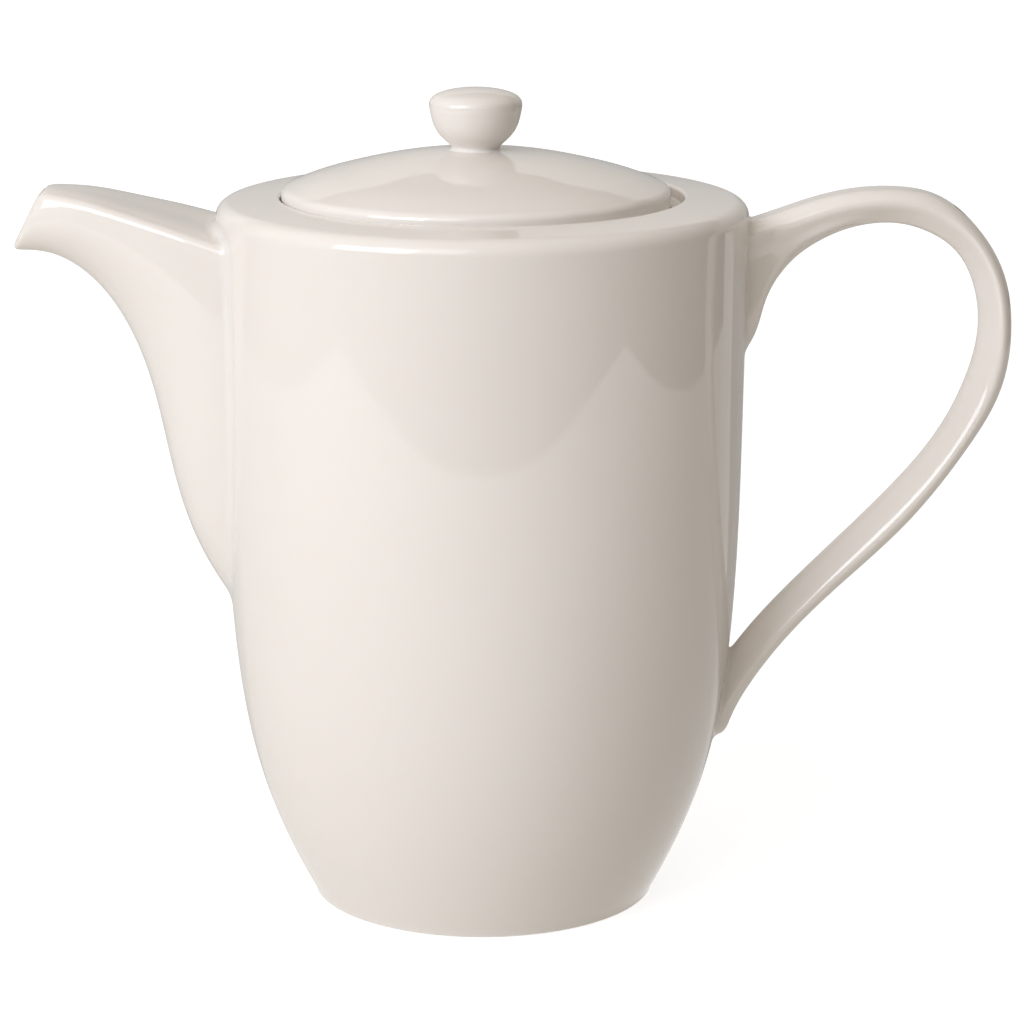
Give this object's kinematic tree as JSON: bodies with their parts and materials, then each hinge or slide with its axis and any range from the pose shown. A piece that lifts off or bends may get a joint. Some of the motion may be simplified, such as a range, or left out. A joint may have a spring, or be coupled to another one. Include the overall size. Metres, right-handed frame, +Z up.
{
  "type": "coffee pot",
  "caption": "Tall glazed porcelain coffee pot with a faceted pouring spout, a loop handle and a domed lift-off lid with a round knob.",
  "frame": {"origin": "on the body's axis, at the table", "axes": "+Z up, +X towards the handle, so the spout points along -X"},
  "size_m": [0.2303, 0.122, 0.19],
  "materials": {
    "glazed_porcelain": "gloss, warm white glaze",
    "unglazed_porcelain": "matte, polished bare porcelain"
  },
  "bodies": {
    "pot": {"pot_body": "glazed_porcelain", "foot_ring": "unglazed_porcelain", "spout": "glazed_porcelain", "handle": "glazed_porcelain"},
    "lid": {"lid_cover": "glazed_porcelain", "lid_flange": "unglazed_porcelain", "lid_lug": "unglazed_porcelain", "lid_knob": "glazed_porcelain"}
  },
  "joints": [
    {"name": "lid_lift", "type": "slide", "parent": "pot", "child": "lid", "axis": [0, 0, 1], "range_m": [0, 0.08]}
  ]
}
